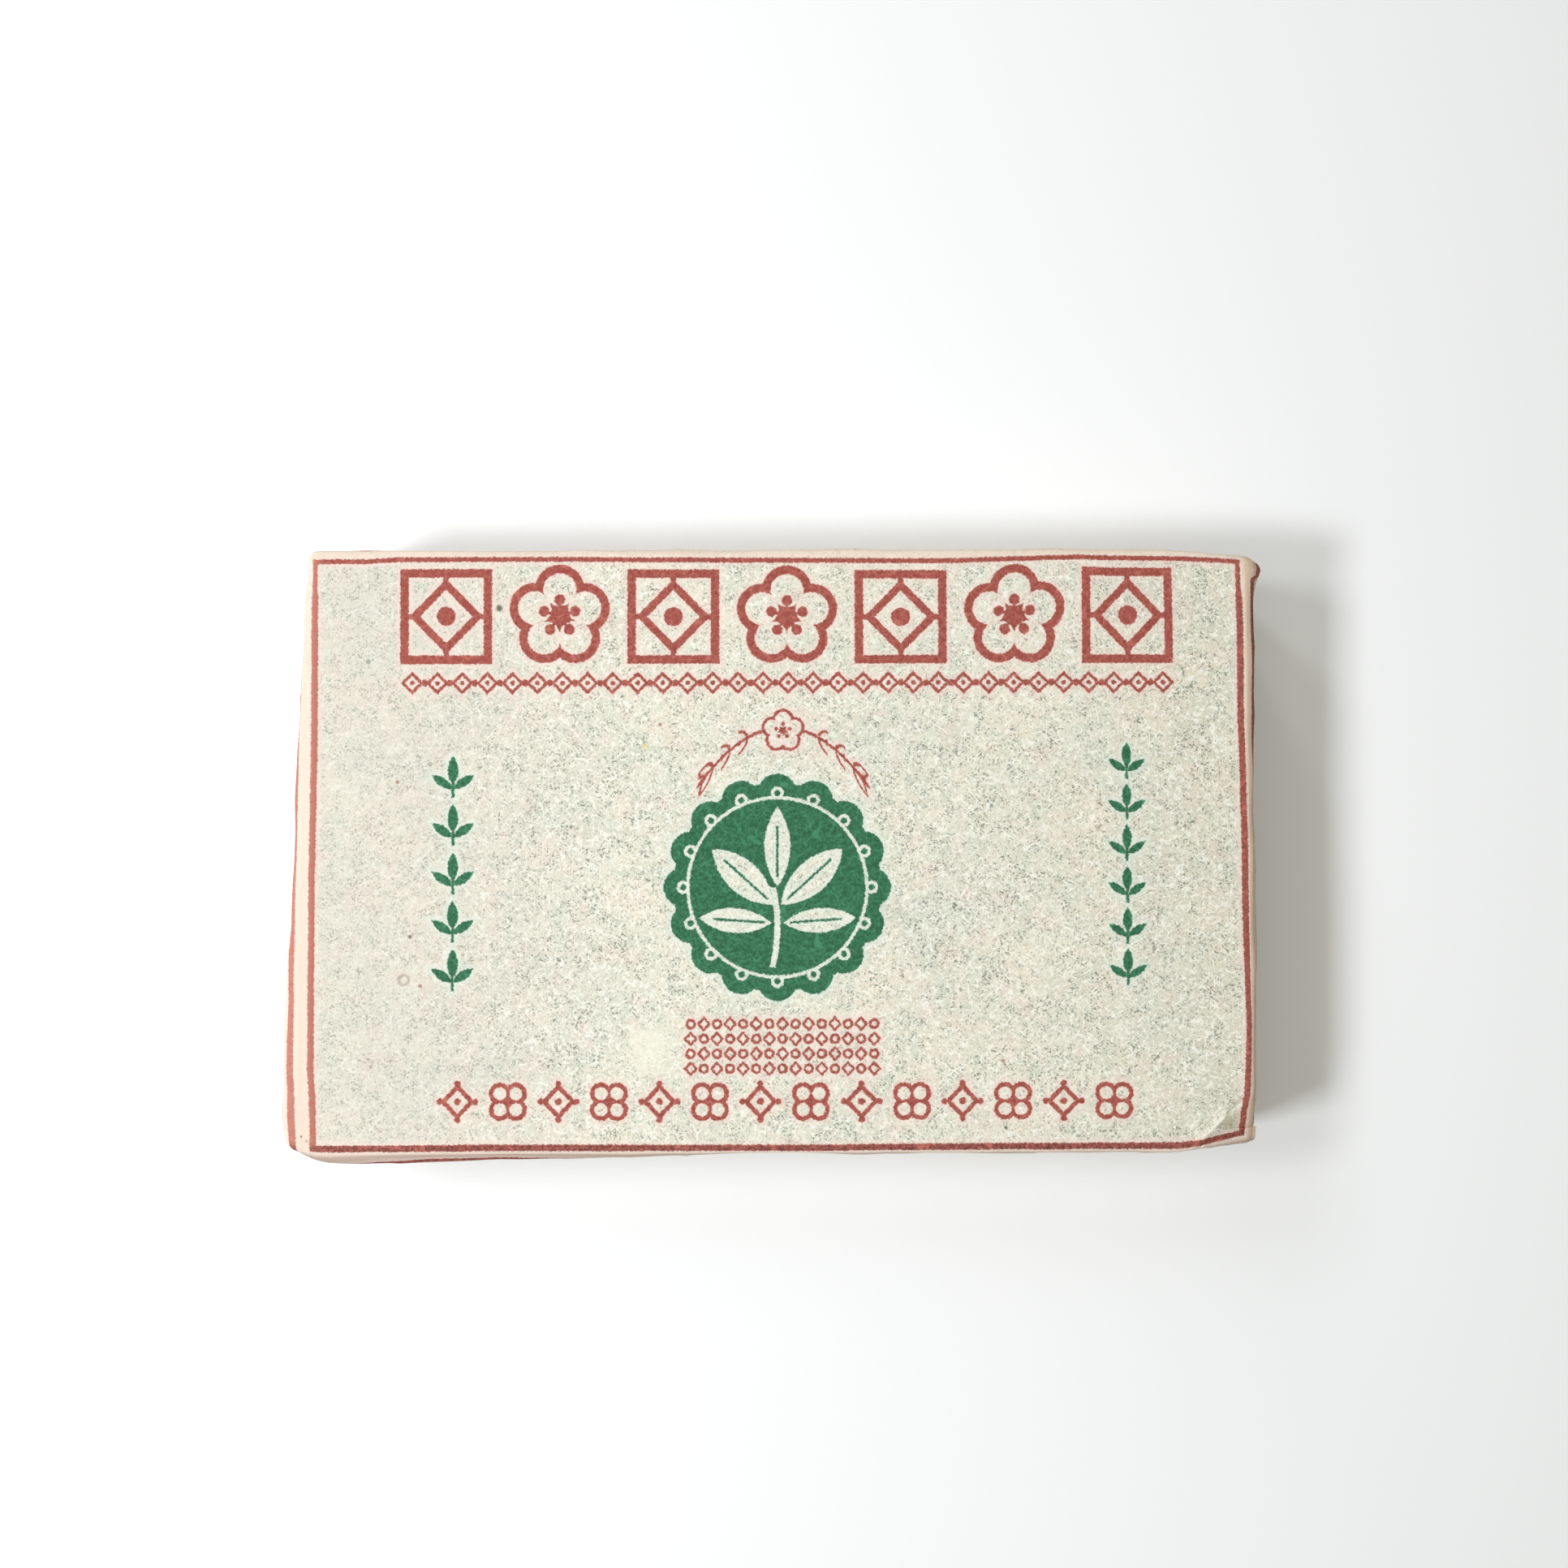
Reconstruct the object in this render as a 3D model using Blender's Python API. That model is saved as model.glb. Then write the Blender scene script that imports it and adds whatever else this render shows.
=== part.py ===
"""A pressed brick of tea, shut in its printed paper wrapper and lying on its back.

Metres. +X runs along the long side, +Y to the far side and +Z out of the printed front.
A shut pack is one solid, so this is one object: a cube primitive is cut into a lattice,
and formulas lay the lattice over the brick, with its rounded edges, folds and dents.
"""

import bmesh
import bpy
import numpy as np

MM = 0.001

# The front panel is flat out to these four corners, seen from its middle
THICKNESS = 25.0 * MM
PANEL_LEFT = 71.9 * MM
PANEL_RIGHT_FAR = 71.95 * MM
PANEL_RIGHT_NEAR = 72.1 * MM
PANEL_FAR = 45.75 * MM
PANEL_NEAR_LEFT = 45.5 * MM
PANEL_NEAR_RIGHT = 44.9 * MM

# Rounding of the front's edges: loose paper makes the left end wider towards the near corner,
# where it is boxier than a circle (power 2) and drops less than it reaches out
ROUND_LEFT_FAR = 1.7 * MM
ROUND_LEFT_NEAR = 5.3 * MM
ROUND_LEFT_FROM = 44.0 * MM
ROUND_LEFT_TO = -33.0 * MM
ROUND_LEFT_POWER = 2.8
ROUND_LEFT_DROOP = 0.65
ROUND_RIGHT = 1.75 * MM
ROUND_FAR = 1.4 * MM
ROUND_NEAR_LEFT = 2.5 * MM
ROUND_NEAR_RIGHT = 1.0 * MM
NEAR_EDGE_SHARP_FROM = 8.0 * MM
ROUND_BACK = 2.2 * MM

# The walls bulge where the paper is slack
BULGE_ENDS = 0.7 * MM
BULGE_SIDES = 0.5 * MM

# The near left corner is squeezed in, the whole way down
SQUEEZE_DEPTH = 1.0 * MM
SQUEEZE_REACH = 3.6 * MM

# The near right corner is dented: the panel drops beyond a crease between two points
CREASE_ON_END = (71.5 * MM, -38.8 * MM)
CREASE_ON_SIDE = (65.3 * MM, -44.4 * MM)
DENT_SLOPE = 0.40
DENT_PUSH = 1.3 * MM
DENT_PUSH_FROM = 60.0 * MM
DENT_DEEP = 14.0 * MM

# The far right corner ends in a small ear of pinched paper
EAR_STANDS = 1.0 * MM
EAR_MIDDLE = (44.4 * MM, 22.0 * MM)
EAR_SIZE = (1.9 * MM, 2.0 * MM)

# Gift-wrap folds of both ends: a flap down from the front, then one up from the back
FLAP_LAYER = 0.35 * MM
FLAP_EDGE = 1.6 * MM
FRONT_FLAP_FREE_EDGE = 5.0 * MM
BACK_FLAP_FREE_EDGE = 17.5 * MM

# The seam of the back: the outer flap comes from the far side and lies lowest
SEAM_Y = -12.0 * MM
SEAM_STEP = 0.35 * MM
SEAM_EDGE = 1.2 * MM

# Slow waves in the front panel
WAVE_DEPTH = 0.15 * MM

# Lattice: steps over the flats and over each half of a rounded edge
STEPS_X = 28
STEPS_Y = 20
STEPS_Z = 6
EDGE_STEPS = 3
EDGE_ZONE = 0.25
END_CROWDING = 0.4

PAPER_COLOUR = (0.76, 0.74, 0.66, 1.0)
PAPER_ROUGHNESS = 0.85


def ease(value, start, stop):
    """Smooth 0 to 1 while value goes from start to stop."""
    part = np.clip((value - start) / (stop - start), 0.0, 1.0)
    return part * part * (3.0 - 2.0 * part)


def blend(first, second, amount):
    """First where amount is 0, second where it is 1."""
    return first + (second - first) * amount


def lattice_cuts(steps):
    """Lattice coordinates of the cuts across one axis, closer together near the edges.

    From -1 to 1 they cross the flat, and beyond it EDGE_ZONE holds half of the rounded edge.
    """
    even = np.linspace(-1.0, 1.0, steps + 1)
    flat = blend(even, np.sin(even * np.pi / 2.0), END_CROWDING)
    edge = 1.0 + EDGE_ZONE * np.arange(1, EDGE_STEPS) / EDGE_STEPS
    return np.concatenate([-edge[::-1], flat, edge])


def lattice_cube():
    """A cube primitive, cut by planes at the lattice coordinates of each axis."""
    mesh = bmesh.new()
    bmesh.ops.create_cube(mesh, size=2.0 * (1.0 + EDGE_ZONE))
    for axis, steps in enumerate((STEPS_X, STEPS_Y, STEPS_Z)):
        normal = np.eye(3)[axis]
        for cut in lattice_cuts(steps):
            geometry = mesh.verts[:] + mesh.edges[:] + mesh.faces[:]
            bmesh.ops.bisect_plane(mesh, geom=geometry, plane_co=normal * cut, plane_no=normal)
    return mesh


def edge_rounding(along_x, along_y, x, y):
    """Radius of the front's edge at the end and at the side that each point is nearest to."""
    towards_near = np.clip((ROUND_LEFT_FROM - y) / (ROUND_LEFT_FROM - ROUND_LEFT_TO), 0.0, 1.0)
    left = blend(ROUND_LEFT_FAR, ROUND_LEFT_NEAR, towards_near)
    near = blend(ROUND_NEAR_LEFT, ROUND_NEAR_RIGHT, ease(x, -PANEL_LEFT, NEAR_EDGE_SHARP_FROM))
    end = np.where(along_x < 0.0, left, ROUND_RIGHT)
    side = np.where(along_y < 0.0, near, ROUND_FAR)
    return end, side


def rounded_brick(lattice):
    """Lay the lattice over a box with rounded edges.

    The direction of a rounded edge is the lattice's place in the edge zone, as a tangent;
    each point is its place on the flat core plus that direction times the local radius.
    Raising the direction to 2 / power turns a circle's arc into a boxier superellipse.
    """
    core = np.clip(lattice, -1.0, 1.0)
    turn = np.clip((np.abs(lattice) - 1.0) / EDGE_ZONE, 0.0, 1.0) * np.pi / 4.0
    outward = np.tan(turn) * np.sign(lattice)
    outward /= np.linalg.norm(outward, axis=1, keepdims=True)

    u, v, w = core.T
    across = (v + 1.0) / 2.0
    along = (u + 1.0) / 2.0
    right = blend(PANEL_RIGHT_NEAR, PANEL_RIGHT_FAR, across)
    near = blend(PANEL_NEAR_LEFT, PANEL_NEAR_RIGHT, along)
    x = blend(-PANEL_LEFT, right, along)
    y = blend(-near, PANEL_FAR, across)

    end, side = edge_rounding(u, v, x, y)
    height = (w + 1.0) / 2.0
    end_here = blend(ROUND_BACK, end, height)
    side_here = blend(ROUND_BACK, side, height)
    to_end = np.abs(outward[:, 0]) / (np.abs(outward[:, 0]) + np.abs(outward[:, 1]) + 1e-9)
    loose = to_end * np.where(u < 0.0, (end - ROUND_LEFT_FAR) / (ROUND_LEFT_NEAR - ROUND_LEFT_FAR), 0.0)
    drop = blend(side, end * blend(1.0, ROUND_LEFT_DROOP, loose), to_end)
    rise = np.where(w > 0.0, drop, ROUND_BACK)
    power = blend(2.0, ROUND_LEFT_POWER, loose * height)
    arc = np.sign(outward) * np.abs(outward) ** (2.0 / power)[:, None]

    x = x + u * (end - end_here) + arc[:, 0] * end_here
    y = y + v * (side - side_here) + arc[:, 1] * side_here
    z = blend(ROUND_BACK, THICKNESS - drop, height) + arc[:, 2] * rise
    return np.stack([x, y, z], axis=1), outward


def bulge_walls(points, outward):
    """Push the walls out, most at half their height."""
    middle = 1.0 - (2.0 * points[:, 2] / THICKNESS - 1.0) ** 2
    points[:, 0] += BULGE_ENDS * middle * outward[:, 0] * np.abs(outward[:, 0])
    points[:, 1] += BULGE_SIDES * middle * outward[:, 1] * np.abs(outward[:, 1])


def fold_ends(points, outward):
    """Raise the flaps of both ends: each narrows by its own height away from its fold."""
    y, z = points[:, 1], points[:, 2]
    half = PANEL_FAR
    front_flap = ease(half - (THICKNESS - z) - np.abs(y), 0.0, FLAP_EDGE)
    front_flap = front_flap * ease(z, FRONT_FLAP_FREE_EDGE, FRONT_FLAP_FREE_EDGE + FLAP_EDGE)
    back_flap = ease(half - z - np.abs(y), 0.0, FLAP_EDGE)
    back_flap = back_flap * ease(BACK_FLAP_FREE_EDGE - z, 0.0, FLAP_EDGE)
    on_wall = np.abs(outward[:, 0]) ** 4
    points[:, 0] += FLAP_LAYER * (front_flap + back_flap) * on_wall * np.sign(outward[:, 0])


def fold_back(points, outward):
    """Leave the back higher beyond the seam, where it has one layer of paper less."""
    beyond = ease(SEAM_Y - points[:, 1], 0.0, SEAM_EDGE)
    points[:, 2] += SEAM_STEP * beyond * np.clip(-outward[:, 2], 0.0, 1.0)


def wave_front(points, outward):
    """Sink the front panel a little in slow waves, and never raise it."""
    x, y = points[:, 0] / PANEL_LEFT, points[:, 1] / PANEL_FAR
    wave = np.sin(3.1 * x + 1.3 * y) * np.cos(2.3 * y - 1.1 * x + 0.6)
    points[:, 2] -= WAVE_DEPTH * (0.5 + 0.5 * wave) * np.clip(outward[:, 2], 0.0, 1.0)


def squeeze_near_left(points):
    """Push the near left corner towards the middle, fading with distance from it."""
    x, y = points[:, 0], points[:, 1]
    corner_x = -(PANEL_LEFT + ROUND_LEFT_NEAR)
    corner_y = -(PANEL_NEAR_LEFT + ROUND_NEAR_LEFT)
    reach = ((x - corner_x) ** 2 + (y - corner_y) ** 2) / (2.0 * SQUEEZE_REACH**2)
    amount = SQUEEZE_DEPTH * np.exp(-reach)
    points[:, 0] += amount
    points[:, 1] += amount * 0.6


def dent_near_right(points):
    """Drop the panel beyond the crease in proportion to the distance from it, and push the side in."""
    end = np.array(CREASE_ON_END)
    along = np.array(CREASE_ON_SIDE) - end
    outward = np.array([-along[1], along[0]]) / np.linalg.norm(along)
    beyond = np.clip((points[:, :2] - end) @ outward, 0.0, None)
    near_top = ease(points[:, 2], THICKNESS - DENT_DEEP, THICKNESS)
    points[:, 2] -= DENT_SLOPE * beyond * near_top
    pushed = ease(points[:, 0], DENT_PUSH_FROM, PANEL_RIGHT_NEAR)
    pushed = pushed * ease(-points[:, 1], PANEL_NEAR_RIGHT - 4.0 * MM, PANEL_NEAR_RIGHT)
    points[:, 1] += DENT_PUSH * pushed * near_top


def pinch_far_right(points, outward):
    """Stand a small ear out of the far right corner, just under the front's edge."""
    away_y = (points[:, 1] - EAR_MIDDLE[0]) / EAR_SIZE[0]
    away_z = (points[:, 2] - EAR_MIDDLE[1]) / EAR_SIZE[1]
    on_end = np.clip(outward[:, 0], 0.0, 1.0)
    points[:, 0] += EAR_STANDS * np.exp(-(away_y**2 + away_z**2) / 2.0) * on_end


def brick_points(lattice):
    """Every fold and dent in turn, then the box's middle over the origin and its foot at 0."""
    points, outward = rounded_brick(lattice)
    bulge_walls(points, outward)
    fold_ends(points, outward)
    fold_back(points, outward)
    wave_front(points, outward)
    squeeze_near_left(points)
    dent_near_right(points)
    pinch_far_right(points, outward)
    low, high = points.min(axis=0), points.max(axis=0)
    points -= np.array([(low[0] + high[0]) / 2.0, (low[1] + high[1]) / 2.0, low[2]])
    return points


def paper_material():
    """Thin, matt, cream-grey cotton paper."""
    material = bpy.data.materials.new("cotton_paper")
    material.use_nodes = True
    shader = material.node_tree.nodes["Principled BSDF"]
    shader.inputs["Base Color"].default_value = PAPER_COLOUR
    shader.inputs["Roughness"].default_value = PAPER_ROUGHNESS
    shader.inputs["Metallic"].default_value = 0.0
    return material


def wrapped_brick(collection):
    """The whole shut pack as one closed solid."""
    lattice = lattice_cube()
    mesh = bpy.data.meshes.new("wrapped_brick")
    lattice.to_mesh(mesh)
    lattice.free()
    places = np.empty(len(mesh.vertices) * 3)
    mesh.vertices.foreach_get("co", places)
    mesh.vertices.foreach_set("co", brick_points(places.reshape(-1, 3)).ravel())
    mesh.update()
    mesh.shade_smooth()
    mesh.materials.append(paper_material())
    brick = bpy.data.objects.new("wrapped_brick", mesh)
    collection.objects.link(brick)
    return brick


for leftover in list(bpy.data.objects):
    bpy.data.objects.remove(leftover, do_unlink=True)
parts = bpy.data.collections.new("tea_brick")
bpy.context.scene.collection.children.link(parts)
wrapped_brick(parts)
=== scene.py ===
# %% [markdown]
# # A brick of pressed tea in its printed paper
#
# The object is a flat brick of dark, pressed tea leaves, about 150 x 95 x 25 mm, shut in one
# sheet of thin cotton paper. The sheet is printed in red and green, folded round the brick like
# a gift and glued on the back. This lesson builds the wrapper as numpy surfaces and paints it
# with procedural materials: long fibres in the paper, and ornaments worked out from distances.

import math

import bpy
import numpy as np
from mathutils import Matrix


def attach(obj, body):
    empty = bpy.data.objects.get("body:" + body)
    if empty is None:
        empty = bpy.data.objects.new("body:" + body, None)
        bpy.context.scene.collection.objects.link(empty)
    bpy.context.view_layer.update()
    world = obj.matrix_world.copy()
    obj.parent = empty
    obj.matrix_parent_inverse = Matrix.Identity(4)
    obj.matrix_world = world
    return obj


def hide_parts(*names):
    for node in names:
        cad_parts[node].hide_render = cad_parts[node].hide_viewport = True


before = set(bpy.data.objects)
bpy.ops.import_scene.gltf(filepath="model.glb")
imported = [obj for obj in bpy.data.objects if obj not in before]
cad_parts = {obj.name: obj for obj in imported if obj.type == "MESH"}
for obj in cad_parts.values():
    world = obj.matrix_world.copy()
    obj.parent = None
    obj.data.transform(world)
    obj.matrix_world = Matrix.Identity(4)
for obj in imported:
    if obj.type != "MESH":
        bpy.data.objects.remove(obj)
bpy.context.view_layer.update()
NODE = "wrapped_brick"
MM = 0.001

# %% [markdown]
# ## The brick's form
#
# The form could be sculpted by hand, but then the solid and its dressed surface would drift
# apart. Here both follow the same few driving dimensions. A lattice on a cube is laid over the
# brick: the middle of each side of the cube is a flat, and its rim is half of a rounded edge.
# The panel on the front isn't quite square, and each edge has a radius of its own.

# %% Driving dimensions, seen from the middle of the front panel
THICKNESS = 25.0 * MM
PANEL_LEFT = 71.9 * MM
PANEL_RIGHT_FAR = 71.95 * MM
PANEL_RIGHT_NEAR = 72.1 * MM
PANEL_FAR = 45.75 * MM
PANEL_NEAR_LEFT = 45.5 * MM
PANEL_NEAR_RIGHT = 44.9 * MM

ROUND_LEFT_FAR = 1.7 * MM
ROUND_LEFT_NEAR = 5.3 * MM
ROUND_LEFT_FROM = 44.0 * MM
ROUND_LEFT_TO = -33.0 * MM
ROUND_LEFT_POWER = 2.8
ROUND_LEFT_DROOP = 0.65
ROUND_RIGHT = 1.75 * MM
ROUND_FAR = 1.4 * MM
ROUND_NEAR_LEFT = 2.5 * MM
ROUND_NEAR_RIGHT = 1.0 * MM
NEAR_EDGE_SHARP_FROM = 8.0 * MM
ROUND_BACK = 2.2 * MM

BULGE_ENDS = 0.7 * MM
BULGE_SIDES = 0.5 * MM
SQUEEZE_DEPTH = 1.0 * MM
SQUEEZE_REACH = 3.6 * MM
SQUEEZE_ASIDE = 0.6
CREASE_ON_END = (71.5 * MM, -38.8 * MM)
CREASE_ON_SIDE = (65.3 * MM, -44.4 * MM)
DENT_SLOPE = 0.40
DENT_PUSH = 1.3 * MM
DENT_PUSH_FROM = 60.0 * MM
DENT_PUSH_REACH = 4.0 * MM
DENT_DEEP = 14.0 * MM
EAR_STANDS = 1.0 * MM
EAR_MIDDLE = (44.4 * MM, 22.0 * MM)
EAR_SIZE = (1.9 * MM, 2.0 * MM)
SEAM_Y = -12.0 * MM
SEAM_STEP = 0.35 * MM
SEAM_EDGE = 0.25 * MM
WAVE_DEPTH = 0.15 * MM
# Factors in the front's slow wave: of x and y in its sine, and of y and x and a start in its cosine
WAVE_SINE = (3.1, 1.3)
WAVE_COSINE = (2.3, -1.1, 0.6)
EDGE_ZONE = 0.25
print("front panel in mm:", round((PANEL_LEFT + PANEL_RIGHT_FAR) / MM, 1), "x",
      round((PANEL_FAR + PANEL_NEAR_LEFT) / MM, 1))


# %% Two helpers for gradual changes
def ease(value, start, stop):
    """Smooth 0 to 1 while value goes from start to stop: 3 t squared minus 2 t cubed."""
    part = np.clip((value - start) / (stop - start), 0.0, 1.0)
    return part * part * (3.0 - 2.0 * part)


def blend(first, second, amount):
    """First where amount is 0, second where it is 1, in proportion between."""
    return first + (second - first) * amount


# %% The rounded box
def edge_rounding(along_x, along_y, x, y):
    """Radius of the front's edge at the end and at the side that each point is nearest to."""
    towards_near = np.clip((ROUND_LEFT_FROM - y) / (ROUND_LEFT_FROM - ROUND_LEFT_TO), 0.0, 1.0)
    left = blend(ROUND_LEFT_FAR, ROUND_LEFT_NEAR, towards_near)
    near = blend(ROUND_NEAR_LEFT, ROUND_NEAR_RIGHT, ease(x, -PANEL_LEFT, NEAR_EDGE_SHARP_FROM))
    end = np.where(along_x < 0.0, left, ROUND_RIGHT)
    side = np.where(along_y < 0.0, near, ROUND_FAR)
    return end, side


def rounded_brick(lattice):
    """Place on the flat core, plus the edge's direction times the local radius.

    The direction is the tangent of the lattice's place in the edge zone, scaled to length 1
    and raised to 2 / power, which turns a circle's arc into a boxier superellipse.
    """
    core = np.clip(lattice, -1.0, 1.0)
    turn = np.clip((np.abs(lattice) - 1.0) / EDGE_ZONE, 0.0, 1.0) * np.pi / 4.0
    outward = np.tan(turn) * np.sign(lattice)
    outward /= np.linalg.norm(outward, axis=1, keepdims=True)
    u, v, w = core.T
    across, along, height = (v + 1.0) / 2.0, (u + 1.0) / 2.0, (w + 1.0) / 2.0
    x = blend(-PANEL_LEFT, blend(PANEL_RIGHT_NEAR, PANEL_RIGHT_FAR, across), along)
    y = blend(-blend(PANEL_NEAR_LEFT, PANEL_NEAR_RIGHT, along), PANEL_FAR, across)
    end, side = edge_rounding(u, v, x, y)
    end_here, side_here = blend(ROUND_BACK, end, height), blend(ROUND_BACK, side, height)
    to_end = np.abs(outward[:, 0]) / (np.abs(outward[:, 0]) + np.abs(outward[:, 1]) + 1e-9)
    loose = to_end * np.where(u < 0.0, (end - ROUND_LEFT_FAR) / (ROUND_LEFT_NEAR - ROUND_LEFT_FAR), 0.0)
    drop = blend(side, end * blend(1.0, ROUND_LEFT_DROOP, loose), to_end)
    rise = np.where(w > 0.0, drop, ROUND_BACK)
    power = blend(2.0, ROUND_LEFT_POWER, loose * height)
    arc = np.sign(outward) * np.abs(outward) ** (2.0 / power)[:, None]
    x = x + u * (end - end_here) + arc[:, 0] * end_here
    y = y + v * (side - side_here) + arc[:, 1] * side_here
    z = blend(ROUND_BACK, THICKNESS - drop, height) + arc[:, 2] * rise
    return np.stack([x, y, z], axis=1), outward


# %% Bulges, dents, the squeezed corner and the seam
def shape_paper(points, outward):
    """Add each large form in turn, as an offset that fades with distance from its place."""
    middle = 1.0 - (2.0 * points[:, 2] / THICKNESS - 1.0) ** 2
    points[:, 0] += BULGE_ENDS * middle * outward[:, 0] * np.abs(outward[:, 0])
    points[:, 1] += BULGE_SIDES * middle * outward[:, 1] * np.abs(outward[:, 1])

    beyond_seam = ease(SEAM_Y - points[:, 1], 0.0, SEAM_EDGE)
    points[:, 2] += SEAM_STEP * beyond_seam * np.clip(-outward[:, 2], 0.0, 1.0)
    x, y = points[:, 0] / PANEL_LEFT, points[:, 1] / PANEL_FAR
    wave = np.sin(WAVE_SINE[0] * x + WAVE_SINE[1] * y)
    wave *= np.cos(WAVE_COSINE[0] * y + WAVE_COSINE[1] * x + WAVE_COSINE[2])
    points[:, 2] -= WAVE_DEPTH * (0.5 + 0.5 * wave) * np.clip(outward[:, 2], 0.0, 1.0)

    from_corner_x = points[:, 0] + PANEL_LEFT + ROUND_LEFT_NEAR
    from_corner_y = points[:, 1] + PANEL_NEAR_LEFT + ROUND_NEAR_LEFT
    squeeze = SQUEEZE_DEPTH * np.exp(-(from_corner_x**2 + from_corner_y**2) / (2.0 * SQUEEZE_REACH**2))
    points[:, 0] += squeeze
    points[:, 1] += squeeze * SQUEEZE_ASIDE

    end = np.array(CREASE_ON_END)
    along = np.array(CREASE_ON_SIDE) - end
    away = np.array([-along[1], along[0]]) / np.linalg.norm(along)
    beyond = np.clip((points[:, :2] - end) @ away, 0.0, None)
    near_top = ease(points[:, 2], THICKNESS - DENT_DEEP, THICKNESS)
    points[:, 2] -= DENT_SLOPE * beyond * near_top
    pushed = ease(points[:, 0], DENT_PUSH_FROM, PANEL_RIGHT_NEAR)
    pushed = pushed * ease(-points[:, 1], PANEL_NEAR_RIGHT - DENT_PUSH_REACH, PANEL_NEAR_RIGHT)
    points[:, 1] += DENT_PUSH * pushed * near_top

    from_ear = (points[:, 1:] - np.array(EAR_MIDDLE)) / np.array(EAR_SIZE)
    ear = np.exp(-(from_ear**2).sum(axis=1) / 2.0)
    points[:, 0] += EAR_STANDS * ear * np.clip(outward[:, 0], 0.0, 1.0)
    return points


# Each wall's axis and side, places along it, how far it stands out there from the plain brick,
# and from where to where this comes in, all in mm: right, left, far and near
SLACK = [
    (0, 1.0, [-46.0, -41.0, -20.0, 10.0, 40.0], [0.55, 0.45, 0.50, 0.45, 0.60], (64.0, 72.5)),
    (0, -1.0, [-47.0, -41.0, -37.0, -26.0, -16.0, -11.0, 0.0, 9.0, 39.0, 44.0],
     [0.60, 0.60, 0.05, 0.05, 0.35, 0.10, 0.10, 0.35, 0.38, 0.05], (66.0, 72.5)),
    (1, 1.0, [60.0, 66.0, 71.4, 73.5], [0.20, -0.25, -0.80, -1.00], (40.0, 46.0)),
    (1, -1.0, [-74.0, -70.0, -66.0, -50.0, -35.0, 2.6, 54.0, 63.0, 65.6, 69.3, 72.9],
     [-0.35, 0.45, 0.50, 0.35, 0.30, 0.50, 0.60, 0.70, 0.85, 1.00, 0.85], (38.0, 45.5)),
]


def let_out(points):
    """Each wall and its fold move out by its own slack, which starts a few mm inside the panel."""
    plan = points[:, :2] / MM
    for axis, sign, places, stands, span in SLACK:
        out = np.interp(plan[:, 1 - axis], places, stands) * MM * ease(sign * plan[:, axis], *span)
        points[:, axis] += sign * out
    return points


def brick_form(lattice):
    """The brick's form over any lattice points, with the panel's middle at x = y = 0."""
    points, outward = rounded_brick(lattice)
    return let_out(shape_paper(points, outward)), outward


# %% [markdown]
# ## The sheet over the brick
#
# Cotton paper follows the leaves under it: the front is slightly lumpy, the walls are slack and
# undulate, and the folded edges wander. Sculpting or a cloth simulation would give this too, but
# not twice the same. Here smooth noise is added along the outward direction, so every run agrees.
# The lattice is denser towards the two right corners, which have a sharp dent and a small ear.

# %% Noise for uneven surfaces
NOISE_CELLS = 32


def lumps(points, size, seed):
    """Smooth noise from -1 to 1: random values on cubes of this size, eased from one to the next."""
    table = np.random.default_rng(seed).uniform(-1.0, 1.0, (NOISE_CELLS,) * 3)
    cell = np.floor(points / size).astype(int)
    part = ease(points / size - cell, 0.0, 1.0)
    total = np.zeros(len(points))
    for corner in np.ndindex(2, 2, 2):
        weight = np.where(corner, part, 1.0 - part).prod(axis=1)
        x, y, z = ((cell + corner) % NOISE_CELLS).T
        total += weight * table[x, y, z]
    return total


def creases(points, size, seed):
    """Sharp folds from 0 to 1, highest along the lines where smooth noise crosses zero."""
    return (1.0 - np.abs(lumps(points, size, seed))) ** 6


# %% Lattice lines of the three axes
EDGE_STEPS = 8
# Places on each axis, and the number of even steps from one to the next
FLATS = [([-1.0, 0.83, 1.0], [135, 53]), ([-1.0, -0.80, 0.90, 1.0], [39, 77, 17]), ([-1.0, 1.0], [22])]


def lattice_line(places, counts):
    """Even steps from place to place, with half a rounded edge of even steps at both ends."""
    steps = zip(places, places[1:], counts)
    flat = [np.linspace(start, stop, count, endpoint=False) for start, stop, count in steps]
    edge = 1.0 + EDGE_ZONE * np.arange(1, EDGE_STEPS + 1) / EDGE_STEPS
    return np.concatenate([-edge[::-1], *flat, places[-1:], edge])


LINES = [lattice_line(*flat) for flat in FLATS]
COUNTS = [len(line) for line in LINES]
print("lattice lines:", COUNTS)

# %% Shape of the whole sheet
PANEL_MIDDLE = np.array([1.65, 0.39]) * MM
# Size, height and seed of each noise, and the value at which the paper isn't moved
LEAF_LUMPS = [(7.0 * MM, 0.09 * MM, 11, 0.4), (2.6 * MM, 0.035 * MM, 12, 0.4)]
WALL_WAVES = [(11.0 * MM, 0.30 * MM, 21, 0.3), (4.0 * MM, 0.10 * MM, 22, 0.3)]
WALL_CREASES = [(9.0 * MM, 0.22 * MM, 41, 0.5)]
EDGE_WANDER = [(6.0 * MM, 0.12 * MM, 31, 0.0)]
# How upright the outward direction is where a flat starts, and how fast a wall ends towards it
FLAT_FROM, FLAT_SPAN, WALL_STEEPNESS = 0.7, 0.3, 1.4
# Middle, reach and height of places where the slack paper of the right end stands out, in mm
RIGHT_SWELLS = [
    ((74.0, 27.0, 21.4), (3.0, 9.0, 1.9), 0.25),
    ((74.0, -16.0, 21.4), (3.0, 4.5, 1.9), 0.30),
    ((74.8, 44.3, 23.0), (3.0, 0.7, 1.2), 0.45),
]
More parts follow.
